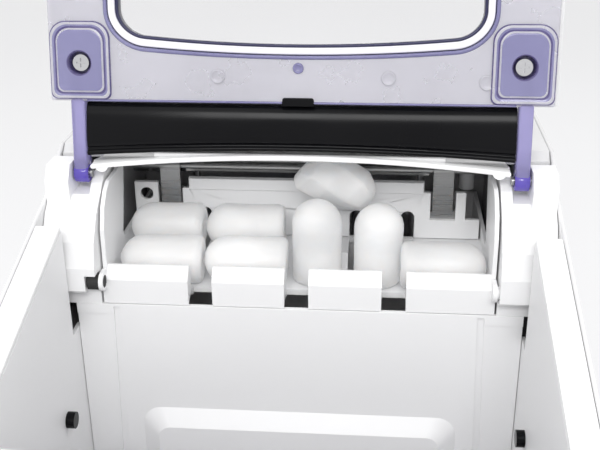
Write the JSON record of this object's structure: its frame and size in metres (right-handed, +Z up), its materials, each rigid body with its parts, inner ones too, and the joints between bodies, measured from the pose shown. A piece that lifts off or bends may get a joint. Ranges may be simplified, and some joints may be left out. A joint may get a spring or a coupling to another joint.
{
  "type": "ice maker",
  "caption": "Countertop bullet ice maker with its lid open: tipping water tray behind a comb, sweep plate, basket bay, and a sealed cooling circuit.",
  "frame": {"origin": "centre of the whole object's box, on the floor under the feet, lid open", "axes": "+X the user's right, +Y towards the back, +Z up"},
  "size_m": [0.242, 0.35, 0.4517],
  "materials": {
    "casing_white": "satin white",
    "liner_white": "fine moulded",
    "liner_dark": "fine moulded",
    "tint_clear": "clear lavender",
    "black_gloss": "gloss",
    "bead_white": "soft bead",
    "pane": "clear",
    "stainless": "brushed",
    "screw_chrome": "polished",
    "copper_tube": "drawn",
    "alu_fins": "mill",
    "black_rubber": "matt",
    "black_paint": "satin",
    "zinc_pan": "satin",
    "foam": "cellular",
    "ice": "cloudy",
    "silicone": "translucent",
    "board_green": "solder mask",
    "light_green": "lens",
    "key_grey": "satin"
  },
  "bodies": {
    "cabinet": {"outer_shell": "casing_white", "base_pan": "zinc_pan", "feet": "black_rubber", "rear_panel": "casing_white", "power_inlet": "black_gloss", "rear_deck": "casing_white", "mouth_strip": "liner_white", "bay_frame": "liner_white", "bin_tub": "liner_white", "tub_feet": "liner_white", "insulation": "foam", "divider_panel": "liner_white", "cheek_right": "liner_white", "cheek_left": "liner_white", "lid_hinge_pins": "stainless", "chamber": "liner_dark", "control_panel": "black_gloss", "display_window": "pane", "control_board": "board_green", "indicator_lights": "light_green", "gear_motor": "black_paint", "hanger_rail": "stainless", "cold_fingers": "screw_chrome", "evaporator": "screw_chrome", "compressor": "black_paint", "compressor_mounts": "black_rubber", "condenser": "alu_fins", "fan_shroud": "black_gloss", "fan_motor": "zinc_pan", "filter_drier": "copper_tube", "hot_gas_valve": "black_paint", "refrigerant_pipe": "copper_tube", "water_pump": "black_gloss", "water_hose": "silicone", "fill_spout": "liner_white", "drain_spout": "liner_white", "float_switch": "liner_white", "bin_sensors": "black_gloss"},
    "lid": {"lid_cover": "casing_white", "lid_liner": "tint_clear", "lid_window": "pane", "window_seal": "bead_white", "lid_beam": "black_gloss", "beam_tab": "black_gloss", "lid_screws": "screw_chrome"},
    "tray": {"water_tray": "liner_white", "pivot_bush": "black_rubber", "drive_shaft": "liner_white", "ice_bullets": "ice"},
    "pusher": {"pusher_plate": "liner_white", "pusher_hangers": "stainless"},
    "basket": {"ice_basket": "tint_clear"},
    "fan": {"fan_blade": "black_gloss"},
    "impeller": {"pump_impeller": "liner_white"},
    "float": {"float_ring": "liner_white"},
    "drain_plug": {"drain_plug": "black_rubber"},
    "power_button": {"power_button": "key_grey"},
    "size_button": {"size_button": "key_grey"}
  },
  "joints": [
    {"name": "lid_hinge", "type": "hinge", "parent": "cabinet", "child": "lid", "pos_m": [0, 0.013, 0.297], "axis": [-1, 0, 0], "range_deg": [-118, 0]},
    {"name": "tray_tilt", "type": "hinge", "parent": "cabinet", "child": "tray", "pos_m": [0, -0.0095, 0.2505], "axis": [1, 0, 0], "range_deg": [-30, 0]},
    {"name": "pusher_swing", "type": "hinge", "parent": "cabinet", "child": "pusher", "pos_m": [0, 0.057, 0.285], "axis": [1, 0, 0], "range_deg": [0, 36]},
    {"name": "basket_lift", "type": "slide", "parent": "cabinet", "child": "basket", "axis": [0, 0, 1], "range_m": [0, 0.12]},
    {"name": "fan_spin", "type": "hinge", "parent": "cabinet", "child": "fan", "pos_m": [0, 0.127, 0.128], "axis": [0, 1, 0], "continuous": true},
    {"name": "impeller_spin", "type": "hinge", "parent": "cabinet", "child": "impeller", "pos_m": [0.066, 0.027, 0.02], "axis": [0, 0, 1], "continuous": true},
    {"name": "float_rise", "type": "slide", "parent": "cabinet", "child": "float", "axis": [0, 0, 1], "range_m": [0, 0.0145]},
    {"name": "drain_plug_pull", "type": "slide", "parent": "cabinet", "child": "drain_plug", "axis": [0, -1, 0], "range_m": [0, 0.03]},
    {"name": "power_button_press", "type": "slide", "parent": "cabinet", "child": "power_button", "axis": [0, 0.4657, -0.8849], "range_m": [0, 0.0012], "stiffness_N_per_m": 300},
    {"name": "size_button_press", "type": "slide", "parent": "cabinet", "child": "size_button", "axis": [0, 0.4657, -0.8849], "range_m": [0, 0.0012], "stiffness_N_per_m": 300}
  ],
  "couplings": [
    {"joint": "pusher_swing", "follows": "tray_tilt", "ratio": -1.2}
  ]
}
